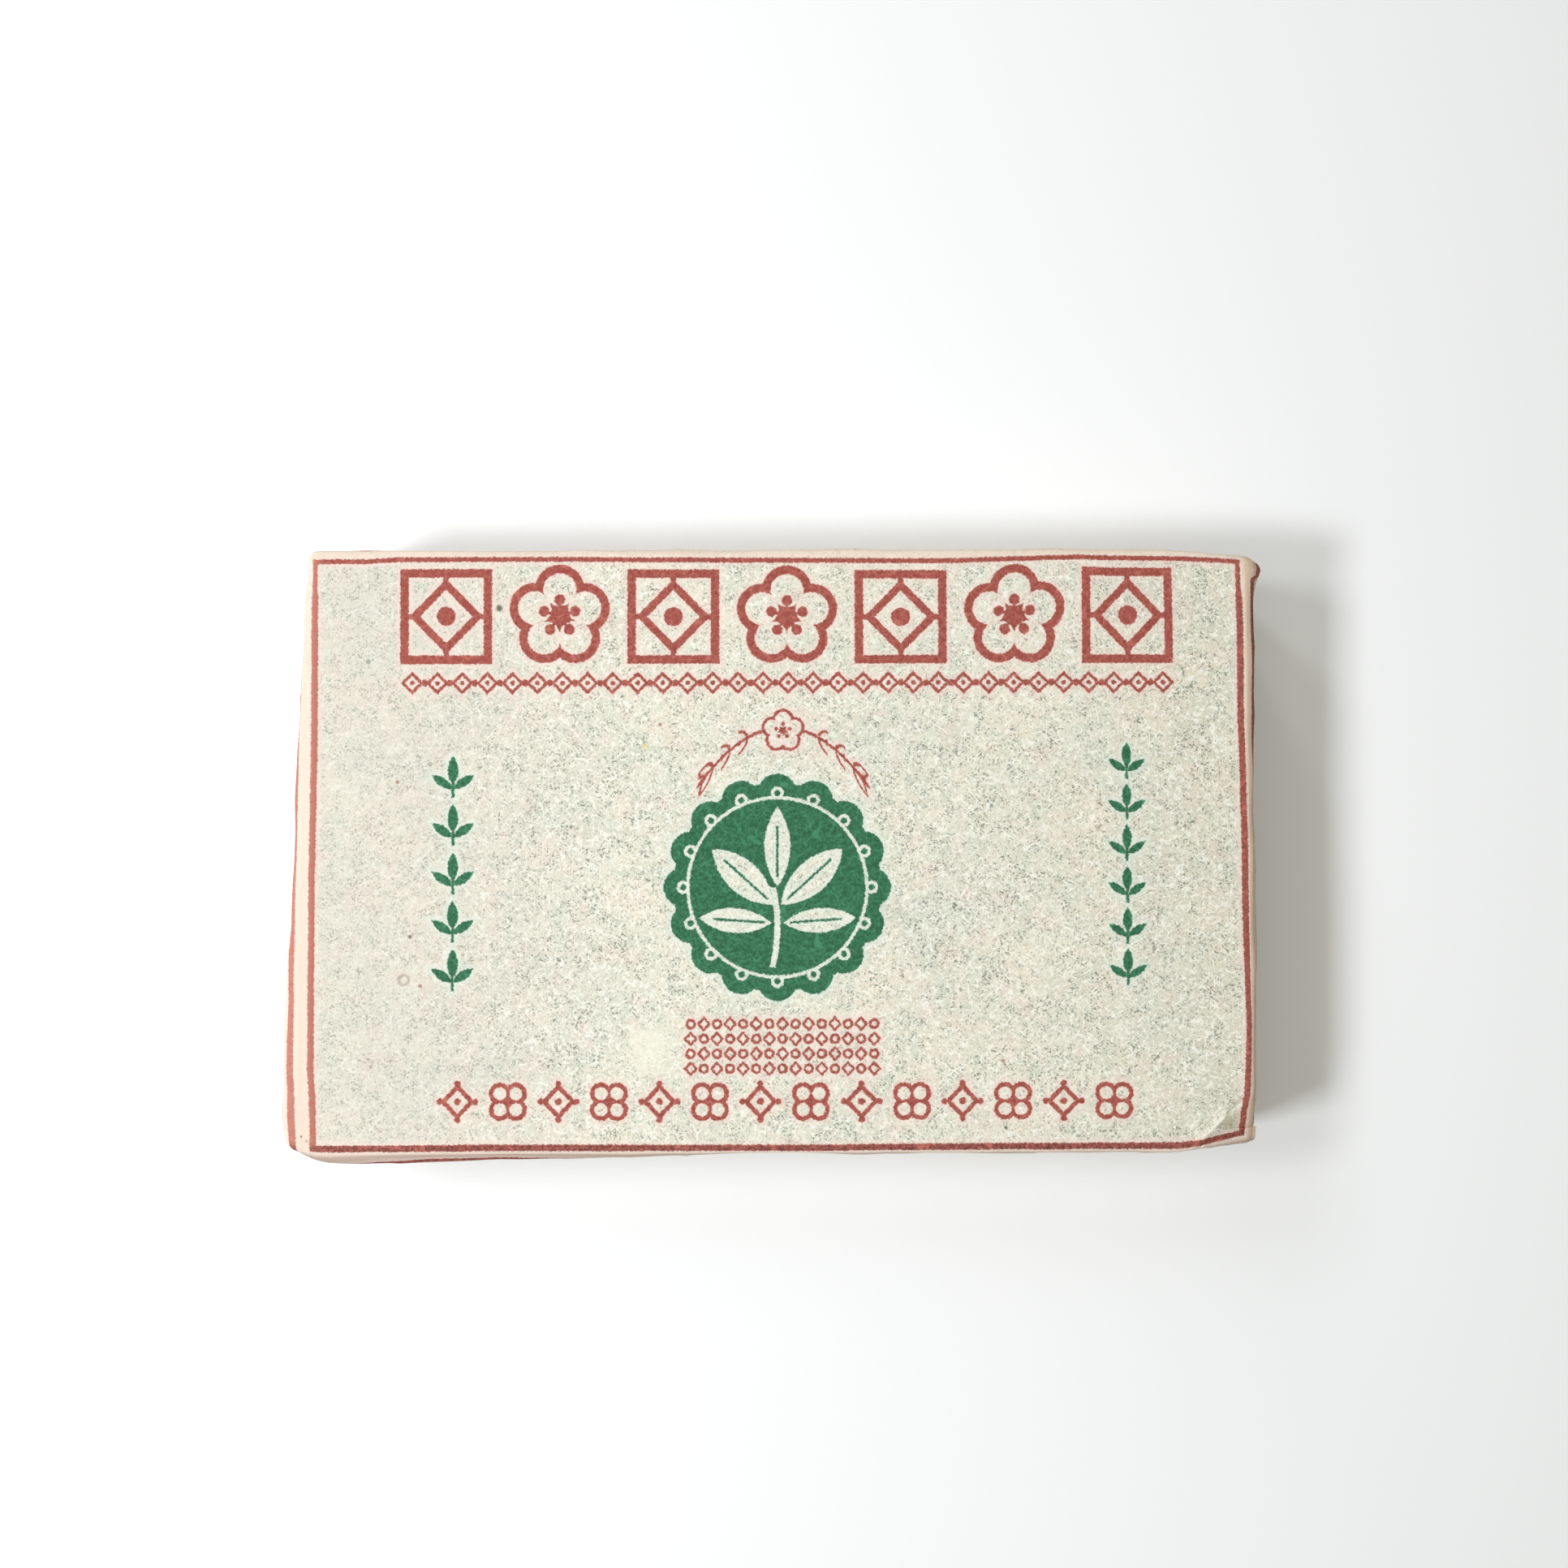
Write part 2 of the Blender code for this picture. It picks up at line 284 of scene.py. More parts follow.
# Ends, height and half width of sharp ridges (or furrows, if negative) in the front, in mm
FRONT_RIDGES = [
    ((64.9, -44.9), (69.3, -40.5), 0.38, 0.42),
    ((69.3, -40.5), (71.8, -38.4), -0.30, 0.45),
    ((3.0, 45.5), (3.9, 27.9), 0.07, 0.60),
    ((63.0, -32.5), (71.5, -25.0), 0.08, 0.50),
]


def off_segment(points, start, end):
    """Distance in plan from the straight line between two places."""
    start, end = np.array(start) * MM, np.array(end) * MM
    along = end - start
    share = np.clip((points[:, :2] - start) @ along / (along @ along), 0.0, 1.0)
    return np.linalg.norm(points[:, :2] - start - share[:, None] * along, axis=1)


def sharp_places(points, outward):
    """Ridges fade with the square of the distance from their line, swells with a bell's curve."""
    up = np.clip(outward[:, 2], 0.0, 1.0)
    for start, end, height, half_width in FRONT_RIDGES:
        away = off_segment(points, start, end) / (half_width * MM)
        points[:, 2] += height * MM * np.exp(-away**2) * up
    for middle, reach, height in RIGHT_SWELLS:
        away = (points - np.array(middle) * MM) / (np.array(reach) * MM)
        points[:, 0] += height * MM * np.exp(-(away**2).sum(axis=1) / 2.0) * np.clip(outward[:, 0], 0.0, 1.0)


def dressed_form(lattice):
    """The brick's form, moved outwards by each layer of noise on the flats, walls or edges."""
    points, outward = brick_form(lattice)
    sharp_places(points, outward)
    flat = np.clip(np.abs(outward[:, 2]) - FLAT_FROM, 0.0, FLAT_SPAN) / FLAT_SPAN
    wall = np.clip(1.0 - np.abs(outward[:, 2]) * WALL_STEEPNESS, 0.0, 1.0)
    edge = (1.0 - flat) * (1.0 - wall)
    push = np.zeros(len(points))
    for share, noise, layers in ((flat, lumps, LEAF_LUMPS), (wall, lumps, WALL_WAVES),
                                 (wall, creases, WALL_CREASES), (edge, lumps, EDGE_WANDER)):
        for size, height, seed, middle in layers:
            push += share * height * (noise(points, size, seed) - middle)
    return points + outward * push[:, None]


def in_place(points):
    """Move from the panel's middle to the frame that the CAD uses, with no foot below zero."""
    placed = points + np.append(PANEL_MIDDLE, 0.0)
    placed[:, 2] = np.maximum(placed[:, 2], 0.0)
    return placed


# %% Six sides of the lattice, each as a grid
SIDES = {"front": (2, 1), "back": (2, -1), "right": (0, 1), "left": (0, -1), "far": (1, 1), "near": (1, -1)}


def side_indices(side):
    """Three index arrays of one side: its two free axes as a grid, its own axis at the end."""
    axis, sign = SIDES[side]
    free = [n for n in range(3) if n != axis]
    grids = np.meshgrid(np.arange(COUNTS[free[0]]), np.arange(COUNTS[free[1]]), indexing="ij")
    indices = [None, None, None]
    indices[free[0]], indices[free[1]] = grids
    indices[axis] = np.full(grids[0].shape, COUNTS[axis] - 1 if sign > 0 else 0)
    return indices


def side_form(side):
    """The plain brick's points over one side, as a grid of rows and columns."""
    indices = side_indices(side)
    lattice = np.stack([LINES[n][indices[n]].ravel() for n in range(3)], axis=1)
    return brick_form(lattice)[0].reshape(*indices[0].shape, 3)


def grid_quads(numbers, turned):
    """Quads between neighbouring rows and columns of a grid of vertex numbers."""
    corners = [numbers[:-1, :-1], numbers[1:, :-1], numbers[1:, 1:], numbers[:-1, 1:]]
    if turned:
        corners = corners[::-1]
    return np.stack([corner.ravel() for corner in corners], axis=1)


def grid_values(values, turned):
    """The values at each quad's four corners, in the same order as grid_quads has them."""
    numbers = np.arange(values.shape[0] * values.shape[1]).reshape(values.shape[:2])
    return values.reshape(-1, values.shape[2])[grid_quads(numbers, turned)]


# %% [markdown]
# ## Where the print lies
#
# The print was made on the flat sheet, so the pattern has to follow the paper round the folds.
# A seam-by-seam unwrap by hand would do, but arc lengths are exact: on the front, s and t are the
# distances along the paper from the middle of the panel, and on a wall the one that runs down
# keeps growing while the other stays as it was at the fold. The back starts again, 300 mm away.
# The printed lines wander a little against the folds, so s and t are stretched to match.

# %% Arc lengths on every side, in mm
BACK_SHIFT = 300.0


def running_length(grid, axis):
    """Length along the paper from the first row, added up from point to point."""
    steps = np.linalg.norm(np.diff(grid, axis=axis), axis=2)
    start = np.zeros_like(np.take(steps, [0], axis=axis))
    return np.concatenate([start, np.cumsum(steps, axis=axis)], axis=axis) / MM


def paper_places():
    """Grids of s and t for each side."""
    plain = {side: side_form(side) for side in SIDES}
    front = plain["front"]
    middle_u, middle_v = COUNTS[0] // 2, COUNTS[1] // 2
    s, t = running_length(front, 0), running_length(front, 1)
    s += front[middle_u, :, 0] / MM - s[middle_u]
    t += (front[:, middle_v, 1] / MM - t[:, middle_v])[:, None]
    places = {"front": (s, t)}
    for side in ("right", "left", "far", "near"):
        axis, sign = SIDES[side]
        down = running_length(plain[side][:, ::-1], 1)[:, ::-1]
        at_fold = [np.take(place, -1 if sign > 0 else 0, axis=axis)[:, None] for place in (s, t)]
        places[side] = [at + sign * down * (n == axis) for n, at in enumerate(at_fold)]
    places["back"] = (plain["back"][:, :, 0] / MM, plain["back"][:, :, 1] / MM - BACK_SHIFT)
    return places


# %% How the printed frame wanders along each edge, in mm
FRAME_S, FRAME_T = 72.2, 45.6
LEFT_LINE = ([-42.6, -37.6, -33.8, -20.6, -2.9, 10.3, 19.1, 43.0],
             [72.2, 72.3, 72.6, 72.6, 72.5, 72.3, 72.2, 72.2])
RIGHT_LINE = ([-40.1, -37.6, -32.5, -26.2, -12.4, 1.5, 15.3, 20.4, 35.5, 43.0],
              [72.1, 72.5, 72.8, 73.0, 72.5, 72.4, 72.1, 71.9, 71.9, 71.6])
FAR_LINE = ([-64.2, -59.1, -32.7, -21.3, 26.5, 36.6, 46.7, 51.7, 61.8, 66.8, 72.0],
            [45.4, 45.7, 45.7, 45.6, 45.4, 45.7, 46.0, 45.8, 45.7, 45.5, 45.2])
NEAR_LINE = ([-70.5, -55.3, -45.3, 5.1, 15.2, 25.3, 62.0, 65.6, 69.0, 72.0],
             [45.8, 45.7, 45.6, 45.7, 45.6, 45.5, 45.4, 44.95, 44.4, 43.85])
# How much nearer to the fold the walls' own frame comes at some places, in mm
NEAR_WALL_RISE = ([-70.0, -66.0, -62.0, -54.0, -45.0, -26.0], [0.0, 0.4, 0.85, 1.3, 1.5, 0.8])
FAR_WALL_RISE = ([-68.5, -66.0, -64.5, -60.5, -58.0], [0.0, 1.1, 1.5, 1.1, 0.0])
RIGHT_WALL_RISE = ([-26.0, -22.0, -9.0, -6.0, 8.0, 12.0, 40.0, 42.4, 43.2],
                   [0.2, 0.8, 0.8, 0.2, 0.4, 1.3, 1.5, 1.5, 0.0])
LEFT_WALL_RISE = ([0.0], [0.35])
# Each edge's axis and side, its line, its wall's rise, and from where to where both come in
EDGES = [
    (0, 1.0, RIGHT_LINE, (50.0, 70.0), RIGHT_WALL_RISE, (72.9, 74.0)),
    (0, -1.0, LEFT_LINE, (50.0, 70.0), LEFT_WALL_RISE, (73.2, 74.4)),
    (1, 1.0, FAR_LINE, (28.0, 43.0), FAR_WALL_RISE, (46.3, 47.5)),
    (1, -1.0, NEAR_LINE, (36.0, 43.0), NEAR_WALL_RISE, (46.3, 47.5)),
]
# From where to where a rise fades again, on the ends and on the long walls
RISE_FADES = [(78.0, 87.0), (51.0, 60.0)]


def wandering(s, t):
    """Shift s and t towards each edge, so that the even frame lands on its measured line."""
    places, shifts = (s, t), [0.0, 0.0]
    for axis, sign, line, line_span, rise, rise_span in EDGES:
        out, along = sign * places[axis], places[1 - axis]
        shift = ((FRAME_S, FRAME_T)[axis] - np.interp(along, *line)) * ease(out, *line_span)
        fading = 1.0 - ease(out, *RISE_FADES[axis])
        shift += np.interp(along, *rise) * ease(out, *rise_span) * fading
        shifts[axis] = shifts[axis] + sign * shift
    on_front = t > -BACK_SHIFT / 2.0
    return s + shifts[0] * on_front, t + shifts[1] * on_front


# %% Meshes with two UV maps
# Shares of the baking map, as left, bottom, right, top: most of it goes to the printed front
ATLAS = {
    "front": (0.0, 0.375, 1.0, 1.0),
    "back": (0.0, 0.0, 0.5, 0.3125),
    "far": (0.508, 0.0, 1.0, 0.081),
    "near": (0.508, 0.088, 1.0, 0.169),
    "right": (0.508, 0.176, 0.82, 0.257),
    "left": (0.508, 0.264, 0.82, 0.345),
}


def fit_into(share, places):
    """Spread a grid of places evenly over its share of the map."""
    low, high = places.reshape(-1, 2).min(axis=0), places.reshape(-1, 2).max(axis=0)
    part = (places - low) / (high - low)
    return blend(np.array(share[:2]), np.array(share[2:]), part)


def new_object(name, data):
    """An object at the origin, in the scene."""
    thing = bpy.data.objects.new(name, data)
    bpy.context.scene.collection.objects.link(thing)
    return thing


def paper_piece(name, points, quads, print_places, bake_places, material):
    """A smooth mesh object that stands for the brick's node and rides on its body."""
    mesh = bpy.data.meshes.new(name)
    mesh.from_pydata(points, [], quads)
    for layer_name, values in (("paper", print_places), ("OFBake", bake_places)):
        layer = mesh.uv_layers.new(name=layer_name)
        layer.data.foreach_set("uv", np.ascontiguousarray(values, dtype=np.float32).ravel())
    mesh.shade_smooth()
    mesh.materials.append(material)
    mesh.validate()
    piece = new_object(name, mesh)
    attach(piece, "root")
    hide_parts(NODE)
    size = np.array(points).max(axis=0) - np.array(points).min(axis=0)
    print(name, "has", len(quads), "quads and measures", np.round(size / MM, 1), "mm")


# %% [markdown]
# ## Ink and paper
#
# A photograph could be laid over the brick, but it would bring its light with it and blur when
# the part is seen close. The paper and its print are worked out instead. A Math node for every
# step is hard to read, so a small class gives nodes the signs of ordinary sums. Each ornament is
# a distance in mm, below zero where there is ink, and the ink's ragged edge comes from noise.

# %% Sums made of nodes
class Field:
    """A number that varies over the surface: a node's output, with ordinary sums."""

    def __init__(self, tree, socket):
        self.tree = tree
        self.socket = socket

    def node(self, kind, inputs, **settings):
        """A new node with these settings; its inputs are fields or plain values."""
        node = self.tree.nodes.new(kind)
        for name, value in settings.items():
            setattr(node, name, value)
        for key, value in inputs.items():
            if isinstance(value, Field):
                self.tree.links.new(value.socket, node.inputs[key])
            else:
                node.inputs[key].default_value = value
        return node

    def math(self, operation, *others):
        """This value and the others, put through one Math node."""
        inputs = dict(enumerate((self, *others)))
        return Field(self.tree, self.node("ShaderNodeMath", inputs, operation=operation).outputs[0])

    def __add__(self, other):
        return self.math("ADD", other)

    def __sub__(self, other):
        return self.math("SUBTRACT", other)

    def __mul__(self, other):
        return self.math("MULTIPLY", other)

    def __truediv__(self, other):
        return self.math("DIVIDE", other)

    def __abs__(self):
        return self.math("ABSOLUTE")

    def clamped(self):
        """This value, held between 0 and 1."""
        node = self.node("ShaderNodeMath", {0: self, 1: 0.0}, operation="ADD", use_clamp=True)
        return Field(self.tree, node.outputs[0])


# %% Distances to simple shapes, in mm
def nearest(first, *others):
    """Union of shapes: the smallest distance."""
    for other in others:
        first = first.math("MINIMUM", other)
    return first


def farthest(first, *others):
    """What shapes have in common: the largest distance."""
    for other in others:
        first = first.math("MAXIMUM", other)
    return first


def length(x, y):
    """Root of x squared plus y squared."""
    return (x * x + y * y).math("SQRT")


def disc(x, y, radius):
    """Distance from a disc."""
    return length(x, y) - radius


def oblong(x, y, half_x, half_y):
    """Distance from an oblong, with square corners."""
    return farthest(abs(x) - half_x, abs(y) - half_y)


def lozenge(x, y, half_x, half_y):
    """Distance from a lozenge: x and y as shares of its half axes, added, less one."""
    shares = abs(x) / half_x + abs(y) / half_y - 1.0
    return shares * (half_x * half_y / math.hypot(half_x, half_y))


def outline(distance, width):
    """A line of this width along a shape's edge."""
    return abs(distance) - width / 2.0


def leaf(x, y, half_long, half_wide):
    """A pointed leaf along x: what two discs, one above and one below, have in common."""
    radius = (half_long**2 + half_wide**2) / (2.0 * half_wide)
    return length(x, abs(y) + (radius - half_wide)) - radius


def turned(x, y, degrees):
    """Coordinates along axes that are turned counterclockwise by this angle."""
    cosine, sine = math.cos(math.radians(degrees)), math.sin(math.radians(degrees))
    return x * cosine + y * sine, y * cosine - x * sine


def covered(distance, blur):
    """1 inside a shape, 0 outside, and a slope of twice this width between."""
    return (distance * (-0.5 / blur) + 0.5).clamped()


def rising(value, start, stop):
    """0 before the start, 1 beyond the stop, and even steps between: the share that is passed."""
    return ((value - start) / (stop - start)).clamped()


def in_row(x, pitch, first, last):
    """Place within the nearest of a row's repeats, and that repeat's number."""
    number = farthest(nearest((x / pitch).math("ROUND"), last), first)
    return x - number * pitch, number


def in_fan(x, y, count, start=0.0):
    """Coordinates in the nearest of a fan's equal sectors, with its middle along x."""
    sector = 2.0 * math.pi / count
    angle = y.math("ARCTAN2", x) - math.radians(start)
    folded = angle - (angle / sector).math("ROUND") * sector
    reach = length(x, y)
    return reach * folded.math("COSINE"), reach * folded.math("SINE")


def either(first, second, number):
    """The first for even numbers, the second for odd ones."""
    odd = number.math("PINGPONG", 1.0)
    return first + (second - first) * odd


# %% Ornaments
def lattice_window(x, y):
    """A window of a garden wall: a square frame, a lozenge in it and a knob in the middle."""
    border = outline(oblong(x, y, 6.5, 6.7), 1.35)
    pane = lozenge(x, y, 4.9, 5.0)
    ties = farthest(nearest(abs(x), abs(y)) - 0.45, farthest(abs(x), abs(y)) - 6.4, pane * -1.0)
    return nearest(border, outline(pane, 1.2), ties, disc(x, y, 1.5))


def blossom(x, y, reach, petal, stroke):
    """A plum blossom: five round petals in outline, a knob and five stamens."""
    along, aside = in_fan(x, y, 5, 90.0)
    petals = outline(disc(along - reach, aside, petal), stroke)
    tip = disc(along - reach * 0.62, aside, stroke * 0.62)
    stamen = oblong(along - reach * 0.35, aside, reach * 0.3, stroke * 0.2)
    return nearest(petals, tip, stamen, disc(x, y, stroke * 0.95))


def title_band(s, t):
    """Seven large ornaments in turn across the top."""
    x, number = in_row(s - 1.35, pitch=17.7, first=-3.0, last=3.0)
    y = t - 36.75
    return either(blossom(x, y, 4.1, 3.25, 1.35), lattice_window(x, y), number)


def chain(s, t):
    """Linked lozenges with beads between them."""
    x = in_row(s - 1.5, pitch=3.9, first=-15.0, last=15.0)[0]
    between_x = in_row(s - 3.45, pitch=3.9, first=-15.0, last=14.0)[0]
    y = t - 26.4
    return nearest(outline(lozenge(x, y, 1.45, 1.45), 0.5), disc(x, y, 0.38), disc(between_x, y, 0.55))


def spray(s, t):
    """A blossom with a leafy twig that droops to each side."""
    side = abs(s - 0.7)
    droop = t - 19.4 + side * side * 0.052
    x = in_row(side - 5.6, pitch=2.7, first=0.0, last=2.0)[0]
    along, aside = turned(x, abs(droop), 40.0)
    leaves = outline(leaf(along - 1.3, aside, 1.35, 0.62), 0.42)
    twig = oblong(side - 7.3, droop, 4.6, 0.28)
    tip = leaf(side - 12.4, droop, 1.2, 0.5)
    return nearest(leaves, twig, tip, blossom(s - 0.7, t - 18.9, 1.75, 1.45, 0.5))


def medallion(x, y):
    """A green medallion with a scalloped rim, and a pale sprig of tea left free in it."""
    along, aside = in_fan(x, y, 16)
    rim = nearest(disc(x, y, 16.2), disc(along - 14.6, aside, 3.05))
    pale_line = outline(rim + 2.3, 0.5)
    bud = leaf(y - 6.3, x, 6.2, 2.0)
    upper_x, upper_y = turned(abs(x), y + 3.2, 42.0)
    upper = leaf(upper_x - 7.2, upper_y, 6.4, 2.5)
    lower_x, lower_y = turned(abs(x), y + 5.6, 4.0)
    lower = leaf(lower_x - 6.6, lower_y, 5.6, 1.9)
    veins = nearest(oblong(upper_x - 6.6, upper_y, 4.6, 0.2), oblong(lower_x - 6.0, lower_y, 4.0, 0.2),
                    oblong(x, y - 5.6, 0.2, 4.0))
    stem = oblong(x + (y + 6.0) * (y + 6.0) * 0.02, y + 6.2, 0.45, 6.2)
    sprig = farthest(nearest(bud, upper, lower), veins * -1.0)
    return farthest(rim, nearest(sprig, stem, pale_line) * -1.0)


def small_rows(s, t):
    """Four close rows of tiny lozenges and rings."""
    x, column = in_row(s - 0.55, pitch=2.03, first=-7.0, last=7.0)
    y, row = in_row(t + 31.15, pitch=2.3, first=-1.0, last=2.0)
    return either(outline(lozenge(x, y, 0.86, 0.92), 0.42), outline(disc(x, y, 0.6), 0.46), column + row)


def bottom_row(s, t):
    """Fourteen ornaments in turn: a flower of four petals, and a lozenge with four buds."""
    x, number = in_row(s - 4.96, pitch=7.82, first=-7.0, last=6.0)
    y = t + 38.5
    along, aside = in_fan(x, y, 4, 45.0)
    flower = nearest(outline(disc(along - 1.75, aside, 1.35), 0.72), disc(x, y, 0.6))
    along, aside = in_fan(x, y, 4)
    buds = nearest(outline(lozenge(x, y, 2.2, 2.3), 0.72), disc(along - 2.75, aside, 0.5), disc(x, y, 0.55))
    return either(flower, buds, number)


def leaf_column(x, y, pitch, first, last, scale):
    """A column of buds, each between two leaves on a short stem."""
    y = in_row(y, pitch, first, last)[0]
    bud = leaf(y - 0.9 * scale, x, 2.0 * scale, 0.75 * scale)
    along, aside = turned(abs(x), y + 1.7 * scale, 34.0)
    leaves = leaf(along - 1.75 * scale, aside, 1.75 * scale, 0.62 * scale)
    stem = oblong(x, y + 1.6 * scale, 0.24, 1.3 * scale)
    return nearest(bud, leaves, stem)


# %% Where the ornaments go
LINE_WIDTH, END_LINE_WIDTH, FAR_LINE_THINNER = 1.05, 1.3, 0.14
# Middles and halves of the panels on the walls, the ends and the back, in mm
WALL_MIDDLE, WALL_HALVES = 59.0, (70.2, 9.6)
END_MIDDLE, END_HALF_DOWN, END_HALF_RIGHT, END_TALLER_LEFT = 83.3, 7.3, 44.8, 1.8
BACK_HALVES = (68.0, 41.5)


def frames(s, t):
    """Outline of the front panel, and of the panel on each wall, which starts below the fold."""
    front = outline(oblong(s, t, FRAME_S, FRAME_T), LINE_WIDTH) + rising(t, 40.0, 41.0) * FAR_LINE_THINNER
    sides = outline(oblong(s, abs(t) - WALL_MIDDLE, *WALL_HALVES), LINE_WIDTH)
    end_half = rising(s, 0.0, -10.0) * END_TALLER_LEFT + END_HALF_RIGHT
    ends = outline(oblong(abs(s) - END_MIDDLE, t, END_HALF_DOWN, end_half), END_LINE_WIDTH)
    back = outline(oblong(s, t + BACK_SHIFT, *BACK_HALVES), LINE_WIDTH)
    return nearest(front, sides, ends, back)


def wall_beads(s, t):
    """A row of lozenges along the middle of both long walls."""
    x = in_row(s, pitch=7.8, first=-8.0, last=8.0)[0]
    y = abs(t) - WALL_MIDDLE
    return nearest(outline(lozenge(x, y, 2.6, 2.2), 0.6), disc(x, y, 0.55))


def red_print(s, t):
    """All red ornaments."""
    return nearest(frames(s, t), title_band(s, t), chain(s, t), spray(s, t), small_rows(s, t),
                   bottom_row(s, t), wall_beads(s, t))


def green_print(s, t):
    """All green ornaments."""
    left = leaf_column(s + 50.6, t + 3.2, 7.5, -2.0, 2.0, 1.12)
    right = leaf_column(s - 54.1, t - 1.4, 6.4, -3.0, 2.0, 0.98)
    back = leaf_column(s, t + BACK_SHIFT + 1.0, 8.0, -1.0, 1.0, 1.3)
    return nearest(medallion(s + 0.2, t + 5.4), left, right, back)


# %% [markdown]
# The paper itself is pale cream grey. Pinkish and greenish clouds a few mm wide come from tea
# dust and thin places, dark grains sit in clusters, and long pale cotton threads curl over
# everything, the ink too. Threads are drawn where a smooth noise crosses its middle value,
# because such lines curl and never end in a blunt tip. Red ink leaves a warm halo in the paper.

# %% Colours, given as they look on a screen
def screen(red, green, blue):
    """Screen values from 0 to 255 as amounts of light, by the sRGB curve."""
    share = np.array([red, green, blue]) / 255.0
    light = np.where(share <= 0.04045, share / 12.92, ((share + 0.055) / 1.055) ** 2.4)
    return (*light.tolist(), 1.0)


PAPER_COOL = screen(227, 225, 207)
PAPER_WARM = screen(236, 228, 208)
PAPER_PINK = screen(233, 216, 201)
PAPER_GREEN = screen(215, 218, 198)
GRAIN_DARK = screen(116, 121, 108)
PAPER_SHADE = screen(190, 194, 178)
# painted shade: darker paper towards the left and the right end
PAINTED_SHADE_LEFT = screen(212, 202, 191)
PAINTED_SHADE_RIGHT = screen(200, 192, 168)
FOLD_WARM = screen(240, 217, 196)
# painted shade: darker tones for the left, right and near folds, by how the lamps light each side
FOLD_PAINTED_SHADE_LEFT = screen(226, 204, 186)
FOLD_PAINTED_SHADE_RIGHT = screen(206, 168, 138)
FOLD_PAINTED_SHADE_NEAR = screen(176, 152, 140)
THREAD = screen(253, 251, 239)
RED_HALO = screen(241, 216, 204)
GREEN_HALO = screen(222, 232, 219)
RED_DEEP = screen(147, 60, 50)
RED_WORN = screen(187, 104, 91)
# painted light on the left edge's red, painted shade on the near and right edges' red
RED_PAINTED_LIGHT_LEFT = screen(198, 138, 119)
RED_PAINTED_SHADE_NEAR = screen(88, 40, 36)
RED_PAINTED_SHADE_RIGHT = screen(112, 76, 54)
GREEN_DEEP = screen(14, 87, 52)
GREEN_WORN = screen(60, 133, 95)
STAIN_BROWN = screen(104, 74, 48)

# Screen colour and strength of the marks on the front panel, some of them painted shade, and their places
# and radii in mm
MARKS = [
    ((84, 88, 62), 0.90, [(-43.5, 38.0, 0.50)]),
    ((150, 155, 135), 0.80, [(-63.9, 29.8, 0.35)]),
    ((165, 95, 90), 0.80, [(-59.2, 11.0, 0.28), (-18.4, 19.9, 0.28)]),
    ((165, 95, 90), 0.80, [(-55.5, -20.6, 0.28), (34.7, -32.3, 0.28)]),
    ((140, 104, 78), 0.80, [(75.3, 45.1, 0.55)]),
    ((132, 98, 74), 0.85, [(75.6, 44.4, 0.60)]),
    ((150, 118, 92), 0.80, [(75.4, 43.8, 0.50)]),
    # painted shade: the dark hollow under the ear at the far right corner
    ((34, 24, 18), 0.95, [(76.0, 42.5, 0.42)]),
    ((34, 24, 18), 0.90, [(76.2, 41.9, 0.36)]),
    # painted shade: the dark gap between paper layers at the near right corner
    ((30, 22, 16), 0.90, [(74.9, -43.2, 0.42), (74.9, -44.2, 0.42)]),
    # painted shade on the dented corner's sloping triangle
    ((190, 183, 150), 0.50, [(70.3, -43.2, 1.60)]),
    ((120, 84, 66), 0.80, [(-74.3, -43.7, 0.20), (-73.2, -44.4, 0.20)]),
    ((70, 72, 60), 0.80, [(-57.1, -13.0, 0.28), (35.1, -42.7, 0.28)]),
    ((236, 214, 150), 0.80, [(-20.7, 16.5, 0.40)]),
    ((243, 238, 219), 0.75, [(-20.1, -30.0, 3.60)]),
]
STAIN_RING = (-58.0, -19.7, 0.75)
# The same of a painted highlight along a crease and painted shade in the furrow beside it, with half length,
# half width and turn in degrees for a radius
CREASE_HIGHLIGHT_AND_SHADE = [
    # painted highlight along the crease's ridge
    ((244, 243, 226), 0.85, (67.4, -43.4, 2.65, 0.22, 44.6)),
    # painted shade in the furrow beside it
    ((150, 150, 130), 0.55, (70.5, -40.2, 1.75, 0.16, 46.0)),
]


# %% Fields for noise and colour
def cloud(place, size, detail, shift):
    """Smooth noise about 0.5, with lumps of about this size in mm, and a shift that makes it new."""
    offset = (shift, shift * 0.7, shift * 0.3)
    moved = place.node("ShaderNodeVectorMath", {0: place, 1: offset}, operation="ADD")
    inputs = {"Vector": Field(place.tree, moved.outputs[0]), "Scale": 1.0 / size, "Detail": detail}
    return Field(place.tree, place.node("ShaderNodeTexNoise", inputs).outputs[0])


def steepened(noise, middle, gain):
    """Noise less its middle, times a gain, about 0.5 and held between 0 and 1."""
    return ((noise - middle) * gain + 0.5).clamped()


def threads(place, size, width, shift):
    """Curling lines where noise crosses its middle, cut into lengths by a second noise."""
    line = covered(abs(cloud(place, size, 0.0, shift) - 0.5) - width, width * 0.7)
    return line * steepened(cloud(place, size * 0.7, 0.0, shift + 31.0), 0.54, 9.0)


def mixed(first, second, amount):
    """The first colour, replaced by the second in proportion to an amount from 0 to 1."""
    node = amount.node("ShaderNodeMix", {0: amount, 6: first, 7: second}, data_type="RGBA")
    return Field(amount.tree, node.outputs[2])


# %% The unprinted paper
# Colour of each cloud, its size in mm, shift, the noise's middle value and its strength
CLOUDS = [(PAPER_WARM, 11.0, 0.0, 0.50, 1.0), (PAPER_PINK, 4.5, 50.0, 0.60, 0.75),
          (PAPER_GREEN, 3.6, 90.0, 0.60, 0.75)]
